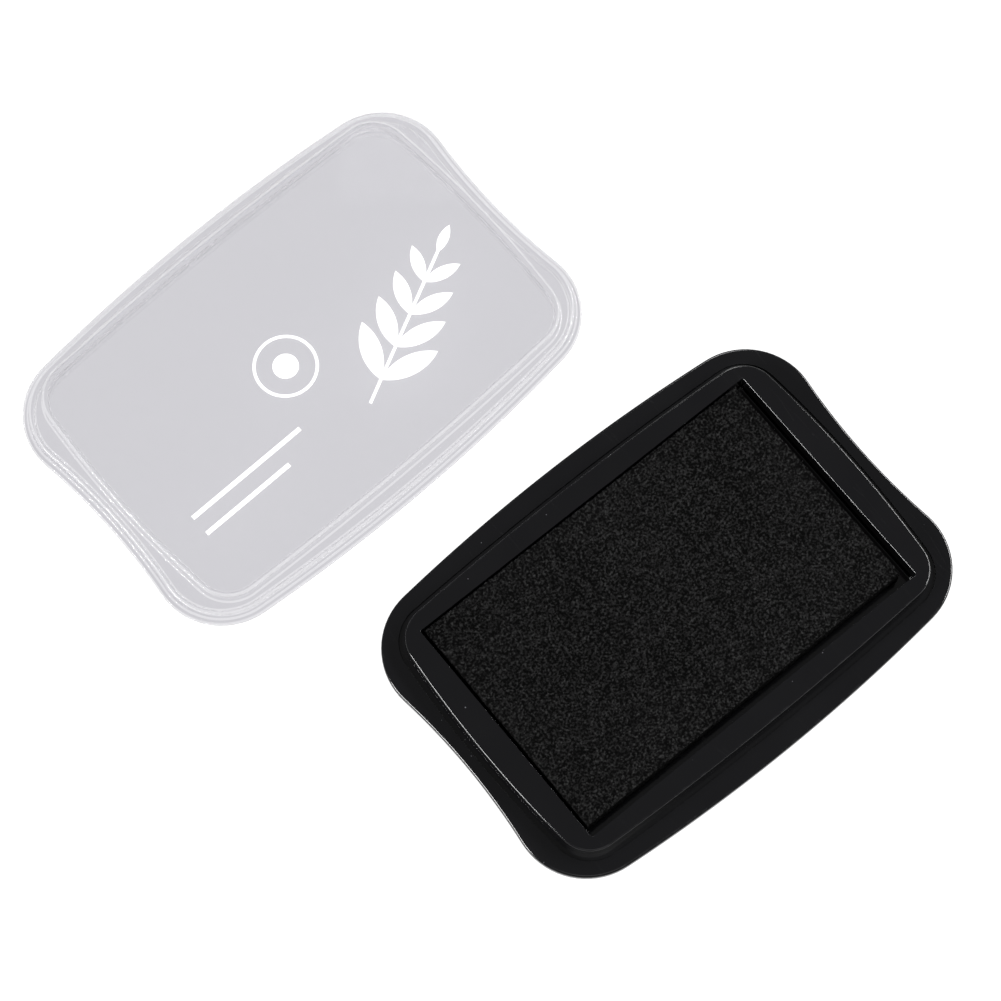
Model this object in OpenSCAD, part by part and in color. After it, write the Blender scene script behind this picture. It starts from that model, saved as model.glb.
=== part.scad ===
// Ink pad for rubber stamps: a two-part base with a foam pad, and a clear lift-off lid that stands
// beside it. Base and lid have alike outlines, with bowed long sides and drawn-in ends.

/* [Outline] */
// Length of the base over its lip
base_l = 96.2; // [95:0.2:102]
// Width of the base over its lip
base_w = 67.4; // [66:0.2:74]
// Length of the lid over its flange
lid_l = 98.4; // [96:0.2:103]
// Width of the lid over its flange
lid_w = 67.8; // [66.4:0.2:75]
// How far each short end draws in at its middle
waist_depth = 1.2; // [1:0.1:2]
// Radius of the corners
corner_r = 13.5; // [11:0.5:14]
// Radius of the bowed long sides
side_r = 360; // [320:2:500]

/* [Base] */
// Height of the rim that the lid rests on
rim_z = 9; // [7.8:0.1:10]
// Thickness of the lip round the rim
lip_t = 1.6; // [1.2:0.1:2]
// How far the lip overhangs the lower shell
lip_overhang = 2.1; // [1.6:0.1:2.4]
// Thickness of the lower shell's floor
floor_t = 1.4; // [1:0.1:2]
// Thickness of the moulded walls
wall = 1.3; // [1:0.1:1.6]

/* [Platform] */
// Length of the raised platform
platform_l = 86.8; // [85:0.2:87.6]
// Width of the raised platform
platform_w = 56.8; // [55:0.2:57.6]
// Height of the platform above the rim
platform_rise = 2.7; // [2.4:0.1:3.2]
// Radius of its bowed short ends
platform_end_r = 222; // [180:2:300]
// Radius of its bowed long sides
platform_side_r = 682; // [500:2:900]
// Radius of its corners
platform_corner_r = 6.5; // [5:0.1:8]
// Width of the groove round its foot
groove_w = 1.2; // [0.8:0.1:1.4]
// Depth of that groove
groove_d = 0.5; // [0.3:0.1:0.8]

/* [Ink well] */
// Length of the opening for the foam
well_l = 76.2; // [76:0.2:77]
// Width of the opening for the foam
well_w = 48.4; // [48:0.2:49]
// Length of the foam
foam_l = 73.6; // [70:0.2:73.8]
// Width of the foam
foam_w = 46.2; // [44:0.2:46.4]
// How far the foam sits off centre along the base
foam_shift_x = -0.8; // [-1:0.1:1]
// How far the foam sits off centre across the base
foam_shift_y = 0.7; // [-0.7:0.1:0.7]
// Thickness of the foam
foam_t = 4.6; // [3.6:0.1:5.2]
// Thickness of the adhesive sheet under it
adhesive_t = 0.2; // [0.1:0.1:0.4]
// How far the foam stands above the platform
foam_proud = 0.5; // [0:0.1:1]

/* [Lid] */
// Height of the lid
lid_h = 6.2; // [6:0.1:8]
// Height of the step below the dome
ledge_z = 3.1; // [2.8:0.1:3.2]
// Thickness of the lid's walls
lid_wall = 1; // [0.8:0.1:1.2]
// Width of the flange round the lid's foot
flange_w = 1.1; // [0.8:0.1:1.4]
// Thickness of that flange
flange_t = 1.2; // [0.8:0.1:1.6]
// Play between the dome's inside and the platform
dome_play = 0.2; // [0.15:0.05:0.4]
// Where the lid's middle lies, along the base
lid_x = -20.8; // [-24:0.1:24]
// Where the lid's middle lies, across from the base's
lid_y = 81.2; // [79:0.1:90]
// How far the lid is turned from the base
lid_turn = 2.6; // [0:0.1:4]

/* [Printed artwork] */
// Thickness of the printed layer
print_t = 0.1; // [0.1:0.05:0.2]
// Length of the largest leaf
leaf_l = 12; // [8:0.5:13]
// Number of leaf pairs on the sprig
leaf_pairs = 4; // [3:1:5]
// Outer radius of the ring
ring_r = 6.2; // [5:0.1:6.6]

/* [Hidden] */

arc_step = 6;
arc_chord = 7;
round_fn = 96;
base_size = [base_l, base_w];
lid_size = [lid_l, lid_w];
platform_z = rim_z + platform_rise;
lip_z = rim_z - lip_t;
foam_top = platform_z + foam_proud;
foam_z = foam_top - foam_t;
well_floor_z = foam_z - adhesive_t;
well_floor_t = 1.4;
rib_t = 1;
rib_depth = 1.8;
rib_play = 0.15;
adhesive_margin = 2;
foam_shift = [foam_shift_x, foam_shift_y];
dome_outset = dome_play + lid_wall;
overlap = 0.01;

// Outline of the platform and the dome. Its corner circles meet both bowed sides on a tangent from inside.
long_centre = [0, platform_w / 2 - platform_side_r];
end_centre = [platform_l / 2 - platform_end_r, 0];
long_reach = platform_side_r - platform_corner_r;
end_reach = platform_end_r - platform_corner_r;
centre_gap = norm(end_centre - long_centre);
along = (end_centre - long_centre) / centre_gap;
across = [along[1], -along[0]];
foot_gap = (pow(long_reach, 2) - pow(end_reach, 2) + pow(centre_gap, 2)) / (2 * centre_gap);
barrel_corner = long_centre + foot_gap * along + sqrt(pow(long_reach, 2) - pow(foot_gap, 2)) * across;
left_corner = [-barrel_corner[0], barrel_corner[1]];
long_angle = asin(barrel_corner[0] / long_reach);
end_angle = asin(barrel_corner[1] / end_reach);

// Points on an arc, from its first angle up to but not including its last
function arc_points(centre, r, from, to) =
    let (steps = ceil(max(abs(to - from) / arc_step, abs(to - from) * PI / 180 * r / arc_chord)))
    let (step = (to - from) / steps)
    [for (i = [0:steps - 1]) centre + r * [cos(from + step * i), sin(from + step * i)]];

// Both outlines look the same turned by half a turn, so one half and its negative make the whole
function both_halves(half) = concat(half, [for (point = half) -point]);

// The outline of base or lid, size being its length and width, drawn in by inset on every side.
// Four corner circles meet the bowed long sides and the hollow ends on a tangent.
function waisted(size, inset) =
    let (
        half_l = size[0] / 2,
        side_centre = [0, size[1] / 2 - side_r],
        side_reach = side_r - corner_r,
        corner_x = half_l - corner_r,
        corner_y = side_centre[1] + sqrt(pow(side_reach, 2) - pow(corner_x, 2)),
        waist_reach = corner_r - waist_depth,
        waist_r = (pow(waist_reach, 2) + pow(corner_y, 2) - pow(corner_r, 2)) / (2 * waist_depth),
        waist_centre = [half_l - waist_depth + waist_r, 0],
        waist_angle = asin(corner_y / (waist_r + corner_r)),
        side_angle = asin(corner_x / side_reach)
    )
    both_halves(concat(
        arc_points(waist_centre, waist_r + inset, 180 + waist_angle, 180 - waist_angle),
        arc_points([corner_x, corner_y], corner_r - inset, -waist_angle, 90 - side_angle),
        arc_points(side_centre, side_r - inset, 90 - side_angle, 90 + side_angle),
        arc_points([-corner_x, corner_y], corner_r - inset, 90 + side_angle, 180 + waist_angle)
    ));

// The outline of platform and dome, let out by outset on every side
function barrel(outset) =
    both_halves(concat(
        arc_points(end_centre, platform_end_r + outset, -end_angle, end_angle),
        arc_points(barrel_corner, platform_corner_r + outset, end_angle, 90 - long_angle),
        arc_points(long_centre, platform_side_r + outset, 90 - long_angle, 90 + long_angle),
        arc_points(left_corner, platform_corner_r + outset, 90 + long_angle, 180 - end_angle)
    ));

module slab(points, from, to) {
    translate([0, 0, from])
        linear_extrude(height = to - from)
            polygon(points);
}

module block(size, centre, from, to) {
    translate([centre[0] - size[0] / 2, centre[1] - size[1] / 2, from])
        cube([size[0], size[1], to - from]);
}

module well_box(from, to) {
    block([well_l + 2 * wall, well_w + 2 * wall], [0, 0], from, to);
}

// Floor and outer wall of the base, open at the top
module lower_shell() {
    color([0.09, 0.09, 0.1])
        difference() {
            slab(waisted(base_size, lip_overhang), 0, lip_z);
            slab(waisted(base_size, lip_overhang + wall), floor_t, lip_z + overlap);
        }
}

// Ring under the rim that drops inside the lower shell and keeps the two together
module locating_rib() {
    rib_inset = lip_overhang + wall + rib_play;
    difference() {
        slab(waisted(base_size, rib_inset), lip_z - rib_depth, lip_z + overlap);
        slab(waisted(base_size, rib_inset + rib_t), lip_z - rib_depth - overlap, lip_z + 2 * overlap);
    }
}

// Lip, rim, platform and ink well in one moulding
module pad_housing() {
    color([0.12, 0.12, 0.13])
        difference() {
            union() {
                difference() {
                    union() {
                        slab(waisted(base_size, 0), lip_z, rim_z);
                        slab(barrel(0), lip_z, platform_z);
                    }
                    slab(barrel(-wall), lip_z - overlap, platform_z - wall);
                    difference() {
                        slab(barrel(groove_w), rim_z - groove_d, rim_z + overlap);
                        slab(barrel(0), rim_z - groove_d - overlap, rim_z + 2 * overlap);
                    }
                }
                well_box(floor_t, platform_z - wall + overlap);
                locating_rib();
            }
            block([well_l, well_w], [0, 0], well_floor_z, platform_z + overlap);
            block([well_l, well_w], [0, 0], floor_t - overlap, well_floor_z - well_floor_t);
        }
}

// Double-sided sheet that holds the foam to the floor of the well
module pad_adhesive() {
    color([0.85, 0.83, 0.76])
        block([foam_l - adhesive_margin, foam_w - adhesive_margin], foam_shift, well_floor_z, foam_z);
}

// Ink-soaked foam
module ink_foam() {
    color([0.16, 0.16, 0.16])
        block([foam_l, foam_w], foam_shift, foam_z, foam_top);
}

module at_lid() {
    translate([lid_x, lid_y, 0])
        rotate([0, 0, lid_turn])
            children();
}

// Clear lid: flange, outer wall, step and dome, open below
module lid_shell() {
    color([0.8, 0.8, 0.84, 0.5])
        at_lid()
            difference() {
                union() {
                    slab(waisted(lid_size, 0), 0, flange_t);
                    slab(waisted(lid_size, flange_w), 0, ledge_z);
                    slab(barrel(dome_outset), ledge_z - lid_wall, lid_h);
                }
                slab(waisted(lid_size, flange_w + lid_wall), -overlap, ledge_z - lid_wall);
                slab(barrel(dome_play), -overlap, lid_h - lid_wall);
            }
}

// A pointed leaf, from its stalk at the origin along +X
module leaf(length, width) {
    bow_r = (pow(length / 2, 2) + pow(width / 2, 2)) / width;
    intersection() {
        translate([length / 2, bow_r - width / 2])
            circle(r = bow_r, $fn = round_fn);
        translate([length / 2, width / 2 - bow_r])
            circle(r = bow_r, $fn = round_fn);
    }
}

// A straight stalk with leaves in pairs that grow smaller towards its tip
module sprig() {
    stalk_l = 33;
    stalk_w = 0.6;
    first_leaf = 5;
    leaf_turn = 40;
    leaf_slimness = 3;
    shrink = 0.12;
    pitch = (stalk_l - first_leaf) / leaf_pairs;
    translate([0, -stalk_w / 2])
        square([stalk_l, stalk_w]);
    for (i = [0:leaf_pairs - 1]) {
        pair_l = leaf_l * (1 - shrink * i);
        for (side = [-1, 1]) {
            translate([first_leaf + i * pitch, 0])
                rotate(side * leaf_turn)
                    leaf(pair_l, pair_l / leaf_slimness);
        }
    }
    translate([stalk_l - stalk_w, 0])
        leaf(leaf_l / 2, leaf_l / 2 / leaf_slimness);
}

// A round ring with a dot in its middle
module ringed_dot() {
    ring_w = 0.6;
    dot_share = 0.4;
    difference() {
        circle(r = ring_r, $fn = round_fn);
        circle(r = ring_r - ring_w, $fn = round_fn);
    }
    circle(r = ring_r * dot_share, $fn = round_fn);
}

// White artwork on top of the dome: a sprig, a ringed dot and two ruled lines
module lid_artwork() {
    sprig_place = [3, -16];
    sprig_turn = 26;
    dot_place = [-4, 0];
    line_starts = [[-36, -11.5], [-36, -15.5]];
    line_lengths = [26, 20];
    line_w = 0.9;
    color([0.97, 0.97, 0.97])
        at_lid()
            translate([0, 0, lid_h])
                linear_extrude(height = print_t) {
                    translate(sprig_place)
                        rotate(sprig_turn)
                            sprig();
                    translate(dot_place)
                        ringed_dot();
                    for (i = [0:len(line_starts) - 1]) {
                        translate(line_starts[i])
                            square([line_lengths[i], line_w]);
                    }
                }
}

lower_shell();
pad_housing();
pad_adhesive();
ink_foam();
lid_shell();
lid_artwork();
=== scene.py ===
import math

import bpy
from mathutils import Matrix, Vector


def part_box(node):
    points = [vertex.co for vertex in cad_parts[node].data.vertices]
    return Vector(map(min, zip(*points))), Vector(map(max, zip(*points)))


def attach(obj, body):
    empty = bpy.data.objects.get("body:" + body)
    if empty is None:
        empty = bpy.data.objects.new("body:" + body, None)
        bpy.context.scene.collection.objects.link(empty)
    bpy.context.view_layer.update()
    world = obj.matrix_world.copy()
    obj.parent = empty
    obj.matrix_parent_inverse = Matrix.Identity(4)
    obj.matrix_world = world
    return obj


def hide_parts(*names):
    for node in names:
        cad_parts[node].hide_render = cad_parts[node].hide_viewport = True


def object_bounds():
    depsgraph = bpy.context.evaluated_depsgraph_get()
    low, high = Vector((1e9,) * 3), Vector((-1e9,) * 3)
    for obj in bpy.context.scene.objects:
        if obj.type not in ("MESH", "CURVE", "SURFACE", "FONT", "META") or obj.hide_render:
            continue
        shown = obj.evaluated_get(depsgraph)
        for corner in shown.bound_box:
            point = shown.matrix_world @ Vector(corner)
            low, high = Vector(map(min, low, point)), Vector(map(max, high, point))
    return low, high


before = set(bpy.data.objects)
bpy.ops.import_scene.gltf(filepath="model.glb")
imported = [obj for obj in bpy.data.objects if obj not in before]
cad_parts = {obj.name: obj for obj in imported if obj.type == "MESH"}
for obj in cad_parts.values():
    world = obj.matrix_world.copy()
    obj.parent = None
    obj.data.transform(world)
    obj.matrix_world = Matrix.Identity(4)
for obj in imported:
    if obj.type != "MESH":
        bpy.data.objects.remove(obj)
cadLow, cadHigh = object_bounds()
mm = 0.001

cameraView = {
    "azimuth": -39.2,
    "elevation": 73.0,
    "distance": 0.595,
    "lookAt": (-0.0091, 0.0369, 0.0),
    "lens": 115,
}


def makeCamera(values):
    turn, rise = math.radians(values["azimuth"]), math.radians(values["elevation"])
    back = Vector((math.sin(turn) * math.cos(rise), -math.cos(turn) * math.cos(rise), math.sin(rise)))
    camera = bpy.data.objects.new("padCamera", bpy.data.cameras.new("padCamera"))
    camera.data.lens = values["lens"]
    camera.data.sensor_width = 36
    camera.data.clip_start, camera.data.clip_end = 0.01, 20
    camera.location = Vector(values["lookAt"]) + back * values["distance"]
    camera.rotation_euler = (-back).to_track_quat("-Z", "Y").to_euler()
    bpy.context.scene.collection.objects.link(camera)
    bpy.context.scene.camera = camera


makeCamera(cameraView)
print("camera made")


def addNode(tree, kind, sockets=None, **settings):
    # sockets: input name or number -> a value, or another node's output to link
    made = tree.nodes.new(kind)
    for key, value in settings.items():
        setattr(made, key, value)
    for key, value in (sockets or {}).items():
        if isinstance(value, bpy.types.NodeSocket):
            tree.links.new(value, made.inputs[key])
        else:
            made.inputs[key].default_value = value
    return made


def math2(tree, operation, first, second=0.0, clamp=False):
    made = addNode(tree, "ShaderNodeMath", {0: first, 1: second}, operation=operation, use_clamp=clamp)
    return made.outputs[0]


def ramp(tree, factor, low, high, outLow=0.0, outHigh=1.0):
    return addNode(tree, "ShaderNodeMapRange", {"Value": factor, "From Min": low, "From Max": high,
                                                "To Min": outLow, "To Max": outHigh}).outputs[0]


def newGroup(name, inputs, outputs, kind="ShaderNodeTree"):
    # inputs: name -> (socket type, value); outputs: name -> socket type
    tree = bpy.data.node_groups.new(name, kind)
    for title, (socketType, value) in inputs.items():
        socket = tree.interface.new_socket(title, in_out="INPUT", socket_type=socketType)
        if value is not None:
            socket.default_value = value
    for title, socketType in outputs.items():
        tree.interface.new_socket(title, in_out="OUTPUT", socket_type=socketType)
    return tree, tree.nodes.new("NodeGroupInput").outputs, tree.nodes.new("NodeGroupOutput").inputs


def useGroup(tree, group, **sockets):
    used = addNode(tree, "ShaderNodeGroup", node_tree=group)
    for key, value in sockets.items():
        socket = used.inputs[key]
        if isinstance(value, bpy.types.NodeSocket):
            tree.links.new(value, socket)
        else:
            socket.default_value = value
    return used.outputs


def placeInMillimetres(tree):
    # object coordinates, which are the part's own frame, scaled so that one unit is a millimetre
    place = addNode(tree, "ShaderNodeTexCoord").outputs["Object"]
    return addNode(tree, "ShaderNodeVectorMath", {0: place, "Scale": 1 / mm}, operation="SCALE").outputs[0]


floatSocket = "NodeSocketFloat"
noiseRange = (0.3, 0.7)  # most of a noise texture's values lie between these
white = (1, 1, 1, 1)


def makeMouldGrain():
    # the fine tooth and the slow waves of a moulded face
    tree, given, out = newGroup(
        "mouldGrain",
        {"grainSize": (floatSocket, 0.3), "waveSize": (floatSocket, 12.0)},
        {"grain": floatSocket, "waves": floatSocket})
    place = placeInMillimetres(tree)
    for size, detail, title in (("grainSize", 3.0, "grain"), ("waveSize", 1.0, "waves")):
        scale = math2(tree, "DIVIDE", 1.0, given[size])
        noise = addNode(tree, "ShaderNodeTexNoise", {"Vector": place, "Scale": scale, "Detail": detail})
        tree.links.new(noise.outputs[0], out[title])
    return tree


def makeDustAndScuffs():
    # sparse round specks, and hair scratches that run a little way and stop
    tree, given, out = newGroup(
        "dustAndScuffs",
        {"dustSize": (floatSocket, 1.2), "dustCover": (floatSocket, 0.1),
         "scuffSize": (floatSocket, 7.0), "scuffCover": (floatSocket, 0.2)},
        {"dust": floatSocket, "scuffs": floatSocket})
    place = placeInMillimetres(tree)
    cells = addNode(tree, "ShaderNodeTexVoronoi", {
        "Vector": place, "Scale": math2(tree, "DIVIDE", 1.0, given["dustSize"])})
    patches = addNode(tree, "ShaderNodeTexNoise", {"Vector": place, "Scale": 0.09, "Detail": 2.0})
    speck = ramp(tree, cells.outputs["Distance"], 0.16, 0.08)
    lot = addNode(tree, "ShaderNodeSeparateColor", {0: cells.outputs["Color"]}).outputs[0]
    share = math2(tree, "MULTIPLY", given["dustCover"], ramp(tree, patches.outputs[0], 0.4, 0.65))
    kept = math2(tree, "LESS_THAN", lot, share)
    tree.links.new(math2(tree, "MULTIPLY", speck, kept), out["dust"])
    strokes = []
    for turn in (0.5, 2.1):
        turned = addNode(tree, "ShaderNodeMapping", {
            "Vector": place, "Rotation": (0.0, 0.0, turn), "Scale": (1.0, 0.06, 1.0)}).outputs[0]
        lines = addNode(tree, "ShaderNodeTexVoronoi", {
            "Vector": turned, "Scale": math2(tree, "DIVIDE", 6.0, given["scuffSize"])},
            feature="DISTANCE_TO_EDGE")
        where = addNode(tree, "ShaderNodeTexNoise", {
            "Vector": turned, "Scale": math2(tree, "DIVIDE", 2.0, given["scuffSize"]), "Detail": 1.0})
        edge = math2(tree, "SUBTRACT", 1.0, given["scuffCover"])
        strokes.append(math2(tree, "MULTIPLY", ramp(tree, lines.outputs[0], 0.02, 0.006),
                             math2(tree, "GREATER_THAN", where.outputs[0], edge)))
    tree.links.new(math2(tree, "MAXIMUM", strokes[0], strokes[1]), out["scuffs"])
    return tree


def makeEdgeWear():
    # rubs through along the rounded edges, which carry the attribute edge
    tree, given, out = newGroup(
        "edgeWear", {"wearSize": (floatSocket, 1.5), "wearCover": (floatSocket, 0.3)}, {"wear": floatSocket})
    place = placeInMillimetres(tree)
    edge = addNode(tree, "ShaderNodeAttribute", attribute_name="edge").outputs["Fac"]
    noise = addNode(tree, "ShaderNodeTexNoise", {
        "Vector": place, "Scale": math2(tree, "DIVIDE", 1.0, given["wearSize"]), "Detail": 4.0})
    start = math2(tree, "SUBTRACT", 0.8, given["wearCover"])
    worn = ramp(tree, math2(tree, "SUBTRACT", noise.outputs[0], start), 0.0, 0.12)
    tree.links.new(math2(tree, "MULTIPLY", worn, edge), out["wear"])
    return tree


mouldGrain = makeMouldGrain()
dustAndScuffs = makeDustAndScuffs()
edgeWear = makeEdgeWear()


def newMaterial(name):
    material = bpy.data.materials.new(name)
    material.use_nodes = True
    tree = material.node_tree
    tree.nodes.clear()
    shader = tree.nodes.new("ShaderNodeBsdfPrincipled")
    output = tree.nodes.new("ShaderNodeOutputMaterial")
    tree.links.new(shader.outputs[0], output.inputs["Surface"])
    return material, tree, shader


def mixColour(tree, factor, first, second):
    mixer = tree.nodes.new("ShaderNodeMix")
    mixer.data_type = "RGBA"
    for index, value in ((0, factor), (6, first), (7, second)):
        if isinstance(value, bpy.types.NodeSocket):
            tree.links.new(value, mixer.inputs[index])
        else:
            mixer.inputs[index].default_value = value
    return mixer.outputs[2]


def bumpNormal(tree, height, depth, under=None):
    # depth in millimetres
    bump = addNode(tree, "ShaderNodeBump", {"Height": height, "Distance": depth * mm, "Strength": 1.0})
    if under is not None:
        tree.links.new(under, bump.inputs["Normal"])
    return bump.outputs[0]


def blackPlastic(name, values):
    material, tree, shader = newMaterial(name)
    grain = useGroup(tree, mouldGrain, grainSize=values["grainSize"], waveSize=values["waveSize"])
    marks = useGroup(tree, dustAndScuffs, dustSize=values["dustSize"], dustCover=values["dustCover"],
                     scuffSize=values["scuffSize"], scuffCover=values["scuffCover"])
    wear = useGroup(tree, edgeWear, wearSize=values["wearSize"], wearCover=values["wearCover"])["wear"]
    tone = mixColour(tree, grain["waves"], values["colour"], values["colourWarm"])
    dusty = math2(tree, "MULTIPLY", marks["dust"], values["dustStrength"])
    tone = mixColour(tree, dusty, tone, values["dustColour"])
    worn = math2(tree, "MULTIPLY", wear, values["wearStrength"])
    tone = mixColour(tree, worn, tone, values["wearColour"])
    tree.links.new(tone, shader.inputs["Base Color"])
    rough = ramp(tree, grain["waves"], *noiseRange, *values["roughness"])
    rough = math2(tree, "ADD", rough, math2(tree, "MULTIPLY", marks["scuffs"], values["scuffRough"]))
    rough = math2(tree, "ADD", rough, math2(tree, "MULTIPLY", marks["dust"], values["dustRough"]), clamp=True)
    tree.links.new(rough, shader.inputs["Roughness"])
    normal = bumpNormal(tree, grain["waves"], values["waveDepth"])
    normal = bumpNormal(tree, grain["grain"], values["grainDepth"], under=normal)
    tree.links.new(normal, shader.inputs["Normal"])
    shader.inputs["IOR"].default_value = values["ior"]
    return material


def clearPlastic(name, values):
    material, tree, shader = newMaterial(name)
    grain = useGroup(tree, mouldGrain, grainSize=values["grainSize"], waveSize=values["waveSize"])
    marks = useGroup(tree, dustAndScuffs, scuffSize=values["scuffSize"], scuffCover=values["scuffCover"])
    wear = useGroup(tree, edgeWear, wearSize=values["wearSize"], wearCover=values["wearCover"])["wear"]
    path = tree.nodes.new("ShaderNodeLightPath")
    tone = mixColour(tree, grain["waves"], values["colour"], values["colourDeep"])
    # only the first wall that is looked through tints, so that the double walls stay as light as the dome
    walls = math2(tree, "ADD", path.outputs["Transmission Depth"], path.outputs["Transparent Depth"])
    # the rounded edges are lightened towards white, a painted highlight for the light lines along them
    edge = addNode(tree, "ShaderNodeAttribute", attribute_name="edge").outputs["Fac"]
    untintedAndHighlit = math2(tree, "MAXIMUM", math2(tree, "GREATER_THAN", walls, values["tintedFaces"] - 0.5),
                     math2(tree, "MULTIPLY", edge, values["paintedEdgeHighlight"]))
    tone = mixColour(tree, untintedAndHighlit, tone, white)
    tree.links.new(tone, shader.inputs["Base Color"])
    rough = ramp(tree, grain["grain"], *noiseRange, *values["roughness"])
    rough = math2(tree, "ADD", rough, math2(tree, "MULTIPLY", marks["scuffs"], values["scuffRough"]))
    rough = math2(tree, "ADD", rough, math2(tree, "MULTIPLY", wear, values["wearRough"]), clamp=True)
    tree.links.new(rough, shader.inputs["Roughness"])
    height = math2(tree, "SUBTRACT", grain["grain"], marks["scuffs"])
    normal = bumpNormal(tree, grain["waves"], values["waveDepth"])
    normal = bumpNormal(tree, height, values["grainDepth"], under=normal)
    tree.links.new(normal, shader.inputs["Normal"])
    shader.inputs["IOR"].default_value = values["ior"]
    shader.inputs["Transmission Weight"].default_value = 1.0
    # lamps and the light off the table pass straight through the shell
    straight = math2(tree, "MAXIMUM", path.outputs["Is Shadow Ray"], path.outputs["Is Diffuse Ray"])
    # the painted edge highlight also whitens what passes straight through at the rounded edges
    passColour = mixColour(tree, untintedAndHighlit, values["passColour"], white)
    passColour = mixColour(tree, straight, passColour, values["shadowColour"])
    passed = addNode(tree, "ShaderNodeBsdfTransparent", {"Color": passColour})
    straight = math2(tree, "MAXIMUM", straight, values["straightShare"])
    mixer = addNode(tree, "ShaderNodeMixShader", {0: straight, 1: shader.outputs[0], 2: passed.outputs[0]})
    tree.links.new(mixer.outputs[0], tree.nodes["Material Output"].inputs["Surface"])
    return material


def inkedFoam(name, values):
    material, tree, shader = newMaterial(name)
    place = placeInMillimetres(tree)
    pore = addNode(tree, "ShaderNodeAttribute", attribute_name="pore").outputs["Fac"]
    fine = addNode(tree, "ShaderNodeTexNoise", {
        "Vector": place, "Scale": 1 / values["speckSize"], "Detail": 2.0, "Roughness": 0.6}).outputs[0]
    soaked = addNode(tree, "ShaderNodeTexNoise", {
        "Vector": place, "Scale": values["soakedScale"], "Detail": 3.0}).outputs[0]
    # the specks are darkened towards the pits of the pores, a painted shade
    speck = math2(tree, "MULTIPLY", ramp(tree, fine, values["speckFrom"], values["speckTo"]),
                  ramp(tree, pore, 0.25, 0.75, *values["poreShadeTone"]))
    speck = math2(tree, "MULTIPLY", speck, ramp(tree, soaked, 0.35, 0.65, *values["soakedTone"]), clamp=True)
    tone = mixColour(tree, speck, values["colour"], values["speckColour"])
    tree.links.new(tone, shader.inputs["Base Color"])
    dryRough, wetRough = values["roughness"][1], values["roughness"][0]
    tree.links.new(ramp(tree, soaked, *noiseRange, dryRough, wetRough), shader.inputs["Roughness"])
    tree.links.new(bumpNormal(tree, fine, values["bumpDepth"]), shader.inputs["Normal"])
    shader.inputs["Specular IOR Level"].default_value = values["specular"]
    return material


def adhesiveSheet(name, values):
    material, tree, shader = newMaterial(name)
    grain = useGroup(tree, mouldGrain, grainSize=values["fibreSize"], waveSize=values["stainSize"])
    tone = mixColour(tree, ramp(tree, grain["waves"], 0.35, 0.65), values["colour"], values["stainColour"])
    tree.links.new(tone, shader.inputs["Base Color"])
    tree.links.new(ramp(tree, grain["grain"], *noiseRange, *values["roughness"]), shader.inputs["Roughness"])
    tree.links.new(bumpNormal(tree, grain["grain"], values["fibreDepth"]), shader.inputs["Normal"])
    return material


def whitePrint(name, values):
    material, tree, shader = newMaterial(name)
    grain = useGroup(tree, mouldGrain, grainSize=values["grainSize"], waveSize=values["waveSize"])
    tone = mixColour(tree, ramp(tree, grain["grain"], 0.35, 0.7), values["colourThin"], values["colour"])
    tree.links.new(tone, shader.inputs["Base Color"])
    tree.links.new(ramp(tree, grain["waves"], *noiseRange, *values["roughness"]), shader.inputs["Roughness"])
    tree.links.new(bumpNormal(tree, grain["grain"], values["grainDepth"]), shader.inputs["Normal"])
    return material


outline = {
    "waistDepth": 1.2,
    "cornerRadius": 13.5,
    "sideRadius": 360.0,
    "platformLength": 86.8,
    "platformWidth": 56.8,
    "platformEndRadius": 222.0,
    "platformSideRadius": 682.0,
    "platformCornerRadius": 6.5,
    "endPoints": 44,
    "cornerPoints": 18,
    "sidePoints": 48,
}


def arc(centre, radius, start, end, count):
    step = math.radians(end - start) / count
    first = math.radians(start)
    return [(centre[0] + radius * math.cos(first + step * i), centre[1] + radius * math.sin(first + step * i))
            for i in range(count)]


def line(start, end, count):
    return [(start[0] + (end[0] - start[0]) * i / count, start[1] + (end[1] - start[1]) * i / count)
            for i in range(count)]


def bothHalves(*arcs):
    half = [point for points in arcs for point in points]
    return half + [(-x, -y) for x, y in half]


def waistedRing(length, width, out):
    # outline of base or lid: four corner arcs that meet bowed long sides and hollow ends on a tangent
    corner, side, waist = outline["cornerRadius"], outline["sideRadius"], outline["waistDepth"]
    sideY = width / 2 - side
    cornerX = length / 2 - corner
    cornerY = sideY + math.sqrt((side - corner) ** 2 - cornerX ** 2)
    waistRadius = ((corner - waist) ** 2 + cornerY ** 2 - corner ** 2) / (2 * waist)
    waistX = length / 2 - waist + waistRadius
    waistAngle = math.degrees(math.asin(cornerY / (waistRadius + corner)))
    sideAngle = math.degrees(math.asin(cornerX / (side - corner)))
    ends, corners, sides = outline["endPoints"], outline["cornerPoints"], outline["sidePoints"]
    return bothHalves(
        arc((waistX, 0), waistRadius - out, 180 + waistAngle, 180 - waistAngle, ends),
        arc((cornerX, cornerY), corner + out, -waistAngle, 90 - sideAngle, corners),
        arc((0, sideY), side + out, 90 - sideAngle, 90 + sideAngle, sides),
        arc((-cornerX, cornerY), corner + out, 90 + sideAngle, 180 + waistAngle, corners))


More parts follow.
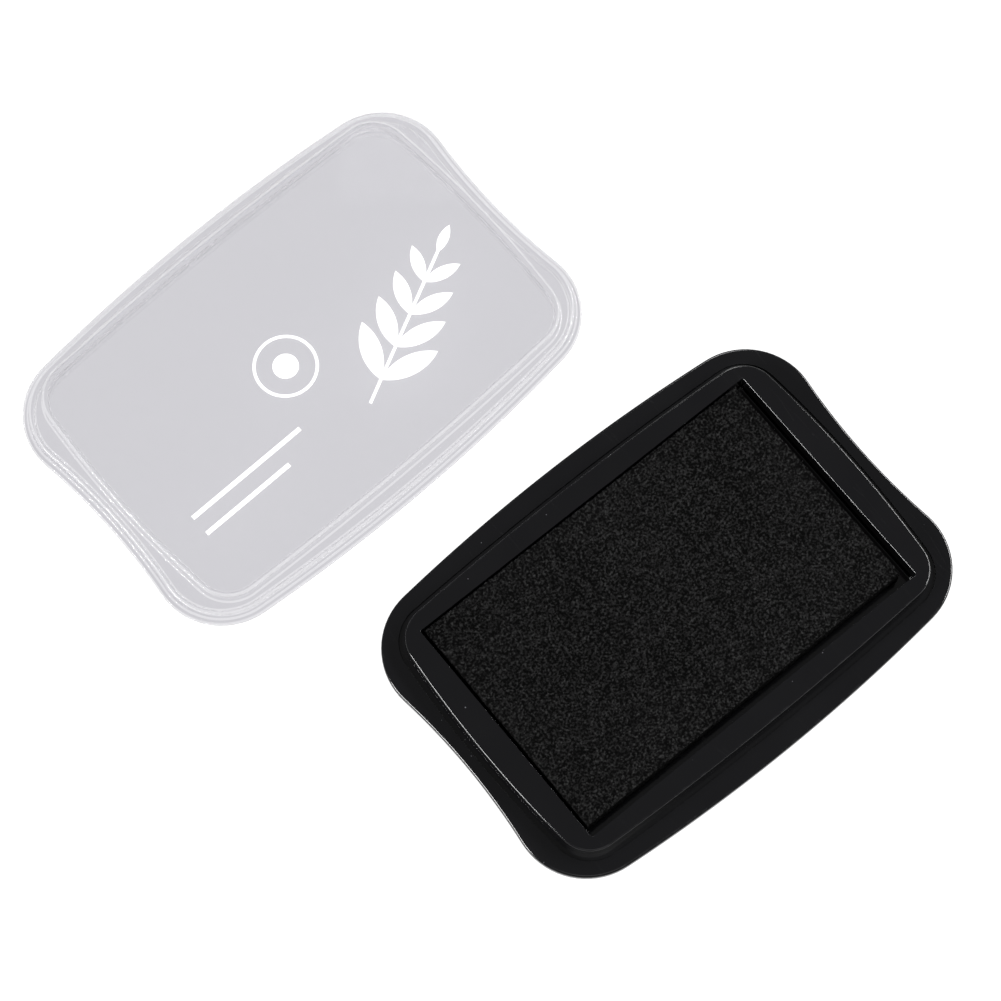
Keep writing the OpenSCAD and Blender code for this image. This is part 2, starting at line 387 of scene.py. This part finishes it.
def barrelRing(out):
    # outline of platform and dome, bowed on all four sides
    halfLength, halfWidth = outline["platformLength"] / 2, outline["platformWidth"] / 2
    end, side = outline["platformEndRadius"], outline["platformSideRadius"]
    corner = outline["platformCornerRadius"]
    sideCentre, endCentre = Vector((0, halfWidth - side)), Vector((halfLength - end, 0))
    gap = (endCentre - sideCentre).length
    along = (endCentre - sideCentre) / gap
    across = Vector((along.y, -along.x))
    foot = ((side - corner) ** 2 - (end - corner) ** 2 + gap ** 2) / (2 * gap)
    cornerCentre = sideCentre + along * foot + across * math.sqrt((side - corner) ** 2 - foot ** 2)
    sideAngle = math.degrees(math.asin(cornerCentre.x / (side - corner)))
    endAngle = math.degrees(math.asin(cornerCentre.y / (end - corner)))
    ends, corners, sides = outline["endPoints"], outline["cornerPoints"], outline["sidePoints"]
    return bothHalves(
        arc(endCentre, end + out, -endAngle, endAngle, ends),
        arc(cornerCentre, corner + out, endAngle, 90 - sideAngle, corners),
        arc(sideCentre, side + out, 90 - sideAngle, 90 + sideAngle, sides),
        arc((-cornerCentre.x, cornerCentre.y), corner + out, 90 + sideAngle, 180 - endAngle, corners))


sharpCorner = 0.02
capInset = 6.0  # about how far in from its edge the last ring of a wide flat face lies


def boxRing(length, width, radius, out):
    # outline of the ink well; out moves its sides outwards and lets the corners grow with them. Inwards the
    # corners shrink until they are almost sharp
    r = max(radius + out, sharpCorner)
    endX, sideY = length / 2 + out, width / 2 + out
    x, y = endX - r, sideY - r
    return bothHalves(
        line((endX, -y), (endX, y), outline["endPoints"]),
        arc((x, y), r, 0, 90, outline["cornerPoints"]),
        line((x, sideY), (-x, sideY), outline["sidePoints"]),
        arc((-x, y), r, 90, 180, outline["cornerPoints"]))


def rounded(corners, steps=5, hold=0.05):
    # corners: (out, z, fillet radius, and if not 1 its edge value) -> (out, z, edge), each corner rounded and
    # held flat beside it
    points = []
    for index, (out, z, radius, *weight) in enumerate(corners):
        edge = weight[0] if weight else 1.0
        here = Vector((out, z))
        if radius <= 0 or index in (0, len(corners) - 1):
            points.append((out, z, 0.0))
            continue
        toLast = (Vector(corners[index - 1][:2]) - here).normalized()
        toNext = (Vector(corners[index + 1][:2]) - here).normalized()
        half = toLast.angle(toNext) / 2
        reach = radius / math.tan(half)
        centre = here + (toLast + toNext).normalized() * (radius / math.sin(half))
        start, end = here + toLast * reach - centre, here + toNext * reach - centre
        sweep = start.angle_signed(end)
        before, after = here + toLast * (reach + hold), here + toNext * (reach + hold)
        points.append((before.x, before.y, 0.0))
        for i in range(steps + 1):
            turned = start.copy()
            turned.rotate(Matrix.Rotation(-sweep * i / steps, 2))
            points.append((centre.x + turned.x, centre.y + turned.y, edge))
        points.append((after.x, after.y, 0.0))
    return points


def loftedShell(name, chains, material, place=None):
    # chains: (ring function of out, rounded profile); every ring joins the next, and the first and last are
    # capped. A profile runs outwards over the top side and back underneath, so that the faces point outwards
    vertices, edges = [], []
    for ringOf, profile in chains:
        for out, z, edge in profile:
            vertices += [Vector((x * mm, y * mm, z * mm)) for x, y in ringOf(out)]
            edges += [edge] * (len(vertices) - len(edges))
    ringSize = len(chains[0][0](0.0))
    ringCount = len(vertices) // ringSize
    faces = [tuple(range(ringSize)), tuple(reversed(range((ringCount - 1) * ringSize, ringCount * ringSize)))]
    for ring in range(ringCount - 1):
        for i in range(ringSize):
            j = (i + 1) % ringSize
            a, b = ring * ringSize, (ring + 1) * ringSize
            faces.append((a + j, a + i, b + i, b + j))
    if place is not None:
        vertices = [place @ v for v in vertices]
    mesh = bpy.data.meshes.new(name)
    mesh.from_pydata(vertices, [], faces)
    mesh.attributes.new("edge", "FLOAT", "POINT").data.foreach_set("value", edges)
    mesh.polygons.foreach_set("use_smooth", [True] * len(mesh.polygons))
    mesh.materials.append(material)
    mesh.validate()
    piece = bpy.data.objects.new(name, mesh)
    bpy.context.scene.collection.objects.link(piece)
    return piece


def cadSize(node):
    low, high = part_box(node)
    return (high - low) / mm, (high + low) / 2 / mm


baseSize = cadSize("pad_housing")[0]
foamSize, foamMiddle = cadSize("ink_foam")
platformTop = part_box("pad_housing")[1].z / mm


lowerShellValues = {
    "overhang": 2.1,  # how far the rim's lip stands out past it
    "wall": 1.3,
    "floor": 1.4,
    "footRadius": 1.1,
    "insideRadius": 0.6,
    "topRadius": 0.2,
    "draft": 0.25,
    "material": {
        "colour": (0.010, 0.010, 0.012, 1), "colourWarm": (0.012, 0.012, 0.013, 1), "roughness": (0.3, 0.4),
        "grainSize": 0.35, "grainDepth": 0.012, "waveSize": 14.0, "waveDepth": 0.03,
        "dustSize": 1.6, "dustCover": 0.15, "dustStrength": 0.35, "dustColour": (0.25, 0.25, 0.26, 1),
        "dustRough": 0.3, "scuffSize": 7.0, "scuffCover": 0.35, "scuffRough": 0.12,
        "wearSize": 1.2, "wearCover": 0.3, "wearStrength": 0.15, "wearColour": (0.06, 0.06, 0.065, 1),
        "ior": 1.5,
    },
}


def makeLowerShell(values):
    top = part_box("lower_shell")[1].z / mm
    outer = -values["overhang"]
    inner = outer - values["wall"]
    foot = outer - values["draft"]
    floor, topRadius = values["floor"], values["topRadius"]
    profile = rounded([
        (inner - capInset, floor, 0), (inner - values["draft"], floor, values["insideRadius"]),
        (inner, top, topRadius), (outer, top, topRadius), (foot, 0, values["footRadius"]),
        (foot - capInset, 0, 0)])
    ringOf = lambda out: waistedRing(baseSize.x, baseSize.y, out)
    shell = loftedShell("lowerShell", [(ringOf, profile)], blackPlastic("basePlastic", values["material"]))
    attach(shell, "base")
    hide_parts("lower_shell")


makeLowerShell(lowerShellValues)
print("lower shell made")


housingValues = {
    "wall": 1.3,
    "rim": 9.0,
    "lip": 1.6,
    "lipRadius": 0.45,
    "platformRadius": 0.31,
    "grooveWidth": 1.2,
    "grooveDepth": 0.5,
    "wellLength": 76.2,
    "wellWidth": 48.4,
    "wellCorner": 0.3,
    "wellFloor": 7.4,
    "wellFloorThickness": 1.4,
    "openingRadius": 0.25,
    "sharpShare": 0.22,  # how much of that rounding the other three sides of the opening have
    "roundedStretch": 1.2,  # the rounding fades out over this stretch of the long sides
    "trimWave": 0.05,
    "trimTurns": (0.9, 2.3),  # how fast the two waves along the trimmed edge turn, in radians per millimetre
    "trimSecond": 0.6,  # the second wave's height as a share of the first
    "trimRise": 0.3,  # the waves reach their full height this far out from the well
    "ribInset": 3.55,
    "ribThickness": 1.0,
    "ribDepth": 1.8,
    "ribRadius": 0.2,
    "wellFootRadius": 0.35,
    "grooveRadii": (0.01, 0.06, 0.08),
    "lipFootRadius": 0.3,
    "material": {
        "colour": (0.0026, 0.0026, 0.0032, 1), "colourWarm": (0.0034, 0.0034, 0.0040, 1),
        "roughness": (0.10, 0.15),
        "grainSize": 0.3, "grainDepth": 0.0004, "waveSize": 11.0, "waveDepth": 0.012,
        "dustSize": 1.1, "dustCover": 0.07, "dustStrength": 0.25, "dustColour": (0.3, 0.3, 0.33, 1),
        "dustRough": 0.3, "scuffSize": 6.0, "scuffCover": 0.35, "scuffRough": 0.12,
        "wearSize": 1.2, "wearCover": 0.3, "wearStrength": 0.06, "wearColour": (0.08, 0.08, 0.085, 1),
        "ior": 1.5,
    },
}


def makeHousing(values):
    rim, wall, inset = values["rim"], values["wall"], values["ribInset"]
    lipUnder = rim - values["lip"]
    ribFoot = lipUnder - values["ribDepth"]
    ribInside = -inset - values["ribThickness"]
    ribRadius = values["ribRadius"]
    groove, grooveOut = rim - values["grooveDepth"], values["grooveWidth"]
    platformFoot, grooveFoot, grooveLip = values["grooveRadii"]
    wellFloor, shellFloor = values["wellFloor"], lowerShellValues["floor"]
    wellUnder = wellFloor - values["wellFloorThickness"]
    platformUnder = platformTop - wall
    rimOf = lambda out: waistedRing(baseSize.x, baseSize.y, out)
    well = lambda out: boxRing(values["wellLength"], values["wellWidth"], values["wellCorner"], out)

    def openingRing(out):
        # only the short side towards +X is well rounded, and its trimmed edge wanders a little
        if out <= 0:
            return well(out)
        stretch, sharp = values["roundedStretch"], values["sharpShare"]
        firstTurn, secondTurn = values["trimTurns"]
        points = []
        for (startX, startY), (endX, endY) in zip(well(0), well(out)):
            share = min(max((startX - values["wellLength"] / 2 + stretch) / stretch, 0), 1)
            waves = math.sin(startY * firstTurn) + values["trimSecond"] * math.sin(startY * secondTurn + 1)
            wave = values["trimWave"] * waves * share
            share = sharp + (1 - sharp) * share
            x = startX + (endX - startX) * share + wave * min(out / values["trimRise"], 1)
            y = startY + (endY - startY) * share
            points.append((x, y))
        return points

    chains = [
        (openingRing, rounded([
            (-3, wellFloor, 0), (0, wellFloor, values["wellFootRadius"]),
            (0, platformTop, values["openingRadius"]), (0.6, platformTop, 0)])),
        (barrelRing, rounded([
            (-2, platformTop, 0), (0, platformTop, values["platformRadius"]), (0, groove, platformFoot),
            (grooveOut, groove, grooveFoot), (grooveOut, rim, grooveLip), (grooveOut + 0.5, rim, 0)])),
        (rimOf, rounded([
            (-1.0, rim, 0), (0, rim, values["lipRadius"]), (0, lipUnder, values["lipFootRadius"]),
            (-inset, lipUnder, 0.15), (-inset, ribFoot, ribRadius), (ribInside, ribFoot, ribRadius),
            (ribInside, lipUnder, 0)])),
        (barrelRing, rounded([
            (-wall, lipUnder, 0), (-wall, platformUnder, 0.3), (-wall - 0.6, platformUnder, 0)])),
        (well, rounded([
            (wall + 0.4, platformUnder, 0), (wall, platformUnder, 0.15), (wall, shellFloor, ribRadius),
            (0, shellFloor, ribRadius), (0, wellUnder, ribRadius), (-3, wellUnder, 0)])),
    ]
    housing = loftedShell("padHousing", chains, blackPlastic("housingPlastic", values["material"]))
    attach(housing, "base")
    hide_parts("pad_housing")


makeHousing(housingValues)
print("pad housing made")


foamValues = {
    "spacing": 0.26,  # distance between mesh points
    "cellSize": 0.55,
    "cellDepth": 0.2,
    "sagSize": 16.0,
    "sagDepth": 0.10,
    "seed": 4,
    "material": {
        "colour": (0.0008, 0.0008, 0.0008, 1), "speckColour": (0.0255, 0.0255, 0.0255, 1),
        "speckSize": 0.42, "speckFrom": 0.44, "speckTo": 0.72,
        "poreShadeTone": (0.35, 1.0),  # painted shade in the pores: how light the specks are, from the bottom of a pore to its brim
        "soakedTone": (0.95, 1.03), "soakedScale": 0.06,
        "roughness": (0.75, 0.95), "bumpDepth": 0.05, "specular": 0.032,
    },
}


def makeFoamTree(material):
    # a closed block of fine faces whose skin is pitted by open cells
    tree, given, out = newGroup(
        "inkFoamSkin",
        {"size": ("NodeSocketVector", (0.07, 0.04, 0.006)), "middle": ("NodeSocketVector", (0, 0, 0)),
         "spacing": (floatSocket, 0.3), "cellSize": (floatSocket, 0.5), "cellDepth": (floatSocket, 0.1),
         "sagSize": (floatSocket, 16.0), "sagDepth": (floatSocket, 0.1), "seed": (floatSocket, 0.0)},
        {"mesh": "NodeSocketGeometry"}, "GeometryNodeTree")
    sides = addNode(tree, "ShaderNodeSeparateXYZ", {0: given["size"]}).outputs
    spacing = math2(tree, "MULTIPLY", given["spacing"], mm)
    counts = [addNode(tree, "FunctionNodeFloatToInt", {0: math2(tree, "DIVIDE", side, spacing)},
                      rounding_mode="CEILING").outputs[0] for side in sides]
    block = addNode(tree, "GeometryNodeMeshCube", {
        "Size": given["size"], "Vertices X": counts[0], "Vertices Y": counts[1], "Vertices Z": counts[2]})
    moved = addNode(tree, "GeometryNodeTransform", {
        "Geometry": block.outputs[0], "Translation": given["middle"]})
    position = tree.nodes.new("GeometryNodeInputPosition").outputs[0]
    inMm = addNode(tree, "ShaderNodeVectorMath", {0: position, "Scale": 1 / mm}, operation="SCALE").outputs[0]

    def noiseAt(size, detail):
        return addNode(tree, "ShaderNodeTexNoise", {
            "Vector": inMm, "W": given["seed"], "Scale": math2(tree, "DIVIDE", 1.0, size), "Detail": detail},
            noise_dimensions="4D").outputs[0]

    pore = ramp(tree, noiseAt(given["cellSize"], 2.0), *noiseRange)
    sag = noiseAt(given["sagSize"], 1.0)
    pitDepth = math2(tree, "MULTIPLY", math2(tree, "SUBTRACT", 1.0, pore), given["cellDepth"])
    inward = math2(tree, "ADD", pitDepth, math2(tree, "MULTIPLY", sag, given["sagDepth"]))
    normal = tree.nodes.new("GeometryNodeInputNormal").outputs[0]
    step = addNode(tree, "ShaderNodeVectorMath", {
        0: normal, "Scale": math2(tree, "MULTIPLY", inward, -mm)}, operation="SCALE").outputs[0]
    pitted = addNode(tree, "GeometryNodeSetPosition", {"Geometry": moved.outputs[0], "Offset": step})
    marked = addNode(tree, "GeometryNodeStoreNamedAttribute", {
        "Geometry": pitted.outputs[0], "Name": "pore", "Value": pore}, data_type="FLOAT", domain="POINT")
    smooth = addNode(tree, "GeometryNodeSetShadeSmooth", {"Geometry": marked.outputs[0]})
    solid = addNode(tree, "GeometryNodeRealizeInstances", {"Geometry": smooth.outputs[0]})
    finished = addNode(tree, "GeometryNodeSetMaterial", {"Geometry": solid.outputs[0], "Material": material})
    tree.links.new(finished.outputs[0], out[0])
    return tree


def fromNodes(name, tree, values):
    # runs a geometry node tree once and keeps its result as a plain mesh
    holder = bpy.data.objects.new(name + "Holder", bpy.data.meshes.new(name + "Holder"))
    bpy.context.scene.collection.objects.link(holder)
    modifier = holder.modifiers.new("nodes", "NODES")
    modifier.node_group = tree
    for item in tree.interface.items_tree:
        if item.in_out == "INPUT" and item.name in values:
            modifier[item.identifier] = values[item.name]
    graph = bpy.context.evaluated_depsgraph_get()
    evaluated = holder.evaluated_get(graph)
    mesh = bpy.data.meshes.new_from_object(evaluated, preserve_all_data_layers=True, depsgraph=graph)
    holder.modifiers.remove(modifier)
    bpy.data.objects.remove(holder)
    mesh.name = name
    piece = bpy.data.objects.new(name, mesh)
    bpy.context.scene.collection.objects.link(piece)
    return piece


def makeFoam(values):
    tree = makeFoamTree(inkedFoam("inkedFoam", values["material"]))
    skinSizes = ("spacing", "cellSize", "cellDepth", "sagSize", "sagDepth", "seed")
    inputs = {key: float(values[key]) for key in skinSizes}
    inputs["size"] = list(foamSize * mm)
    inputs["middle"] = list(foamMiddle * mm)
    foam = fromNodes("inkFoam", tree, inputs)
    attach(foam, "base")
    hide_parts("ink_foam")


makeFoam(foamValues)
print("ink foam made")


adhesiveValues = {
    "colour": (0.62, 0.56, 0.44, 1), "stainColour": (0.2, 0.18, 0.17, 1),
    "fibreSize": 0.25, "fibreDepth": 0.03, "stainSize": 9.0, "roughness": (0.65, 0.85),
}


def setMaterial(node, material):
    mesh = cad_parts[node].data
    mesh.materials.clear()
    mesh.materials.append(material)


setMaterial("pad_adhesive", adhesiveSheet("adhesiveSheet", adhesiveValues))
print("adhesive sheet painted")


lidValues = {
    "turn": 2.6,
    "length": 98.4,
    "width": 67.8,
    "flangeWidth": 1.1,
    "flangeThickness": 1.2,
    "flangeRadius": 0.3,
    "ledge": 3.1,
    "wall": 1.0,
    "draft": 0.4,
    "ledgeRadius": 0.45,
    "domeOut": 1.2,
    "domeDraft": 0.15,
    "domeRadius": 0.45,
    "domeFootRadius": 0.3,
    "wallFootRadius": 0.35,
    "insideRadius": 0.25,
    "insideEdge": 0.2,  # how strongly the roundings inside the dome take the painted edge highlight and the edge wear, beside the others
    "material": {
        "colour": (0.525, 0.520, 0.547, 1), "colourDeep": (0.51, 0.505, 0.532, 1), "roughness": (0.015, 0.03),
        "shadowColour": (0.95, 0.95, 0.955, 1), "passColour": (0.712, 0.708, 0.726, 1),
        "straightShare": 0.72,  # how much passes unbent, as through a thin even wall
        # painted highlight: how far the rounded edges are lightened towards white
        "paintedEdgeHighlight": 0.5,
        "tintedFaces": 2,  # a look through the shell is tinted by this many faces, those of the first wall
        "grainSize": 0.5, "grainDepth": 0.0002, "waveSize": 7.0, "waveDepth": 0.004,
        "scuffSize": 9.0, "scuffCover": 0.34, "scuffRough": 0.2,
        "wearSize": 0.8, "wearCover": 0.2, "wearRough": 0.25, "ior": 1.5,
    },
}


def lidPlace(values):
    middle = cadSize("lid_shell")[1] * mm
    return Matrix.Translation((middle.x, middle.y, 0)) @ Matrix.Rotation(math.radians(values["turn"]), 4, "Z")


def makeLid(values):
    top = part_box("lid_shell")[1].z / mm
    wall, ledge = values["wall"], values["ledge"]
    ledgeUnder = ledge - wall
    flange, flangeRadius = values["flangeThickness"], values["flangeRadius"]
    wallFoot = values["wallFootRadius"]
    outer = -values["flangeWidth"]
    leaning = outer - values["draft"]
    dome, domeTop = values["domeOut"], values["domeOut"] - values["domeDraft"]
    inside, insideEdge = values["insideRadius"], values["insideEdge"]
    ringOf = lambda out: waistedRing(values["length"], values["width"], out)
    chains = [
        (barrelRing, rounded([
            (-capInset, top, 0), (domeTop, top, values["domeRadius"]),
            (dome, ledge, values["domeFootRadius"]), (dome + 0.5, ledge, 0)])),
        (ringOf, rounded([
            (leaning - 0.6, ledge, 0), (leaning, ledge, values["ledgeRadius"]), (outer, flange, wallFoot),
            (0, flange, flangeRadius), (0, 0, flangeRadius), (outer - wall, 0, 0.2),
            (leaning - wall + 0.1, ledgeUnder, wallFoot), (leaning - wall - 0.5, ledgeUnder, 0)])),
        (barrelRing, rounded([
            (dome - wall + 0.5, ledgeUnder, 0), (dome - wall, ledgeUnder, inside, insideEdge),
            (domeTop - wall, top - wall, inside, insideEdge), (-capInset, top - wall, 0)])),
    ]
    lid = loftedShell("lidShell", chains, clearPlastic("clearPlastic", values["material"]), lidPlace(values))
    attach(lid, "lid")
    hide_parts("lid_shell")


makeLid(lidValues)
print("lid shell made")


artworkValues = {
    "colour": (0.95, 0.95, 0.95, 1), "colourThin": (0.86, 0.86, 0.87, 1), "roughness": (0.35, 0.5),
    "grainSize": 0.15, "grainDepth": 0.008, "waveSize": 5.0,
}
setMaterial("lid_artwork", whitePrint("whitePrint", artworkValues))
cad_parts["lid_artwork"].visible_shadow = False  # so thin a coat hardly dims the table
print("artwork painted")


stageValues = {
    "floorSize": 8.0,
    "floorDrop": 0.00005,
    "floorColour": (0.2, 0.2, 0.2, 1),
    "floorGlow": 0.98,  # the table is a lit white panel, so shadows on it stay faint
    "zenith": 0.17,
    "horizon": 0.2,
    "skyTurn": 0.6,  # how high up, as a share of straight up, the sky reaches its zenith tone
}

# where each lamp stands as seen from the pad: azimuth from +X towards +Y, and elevation, in degrees
lamps = {
    "key": {"azimuth": 50.8, "elevation": 47, "distance": 1.0, "size": (0.2, 0.2), "power": 1.8},
    "leftBox": {"azimuth": 168.5, "elevation": 32, "distance": 0.9, "size": (0.3, 0.2), "power": 8},
    "rightBox": {"azimuth": -18, "elevation": 36, "distance": 0.9, "size": (0.8, 0.12), "power": 12},
    "topFill": {"azimuth": 250, "elevation": 76, "distance": 1.3, "size": (0.5, 0.5), "power": 0.6},
}


def makeStage(values):
    half = values["floorSize"] / 2
    mesh = bpy.data.meshes.new("tableTop")
    z = -values["floorDrop"]
    corners = [(-half, -half, z), (half, -half, z), (half, half, z), (-half, half, z)]
    mesh.from_pydata(corners, [], [(0, 1, 2, 3)])
    material, tree, shader = newMaterial("tablePaper")
    shader.inputs["Base Color"].default_value = values["floorColour"]
    shader.inputs["Roughness"].default_value = 0.9
    shader.inputs["Specular IOR Level"].default_value = 0.0
    shader.inputs["Emission Color"].default_value = white
    shader.inputs["Emission Strength"].default_value = values["floorGlow"]
    mesh.materials.append(material)
    floor = bpy.data.objects.new("tableTop", mesh)
    bpy.context.scene.collection.objects.link(floor)

    world = bpy.data.worlds.new("studio")
    world.use_nodes = True
    tree = world.node_tree
    tree.nodes.clear()
    direction = tree.nodes.new("ShaderNodeTexCoord").outputs["Generated"]
    up = addNode(tree, "ShaderNodeSeparateXYZ", {0: direction}).outputs[2]
    level = addNode(tree, "ShaderNodeMapRange", {"Value": up, "From Min": 0.0, "From Max": values["skyTurn"],
                                                 "To Min": values["horizon"], "To Max": values["zenith"]},
                    interpolation_type="SMOOTHSTEP").outputs[0]
    sky = addNode(tree, "ShaderNodeBackground", {"Color": white, "Strength": level})
    end = tree.nodes.new("ShaderNodeOutputWorld")
    tree.links.new(sky.outputs[0], end.inputs[0])
    bpy.context.scene.world = world


def makeLamps(table):
    middle = Vector(((cadLow.x + cadHigh.x) / 2, (cadLow.y + cadHigh.y) / 2, 0))
    for name, values in table.items():
        turn, rise = math.radians(values["azimuth"]), math.radians(values["elevation"])
        towards = Vector((math.cos(turn) * math.cos(rise), math.sin(turn) * math.cos(rise), math.sin(rise)))
        data = bpy.data.lights.new(name, "AREA")
        data.shape = "RECTANGLE"
        data.size, data.size_y = values["size"]
        data.energy = values["power"]
        lamp = bpy.data.objects.new(name, data)
        lamp.location = middle + towards * values["distance"]
        lamp.rotation_euler = (-towards).to_track_quat("-Z", "Y").to_euler()
        bpy.context.scene.collection.objects.link(lamp)


makeStage(stageValues)
makeLamps(lamps)
bpy.context.scene.view_settings.view_transform = "Standard"
print("floor and light made")
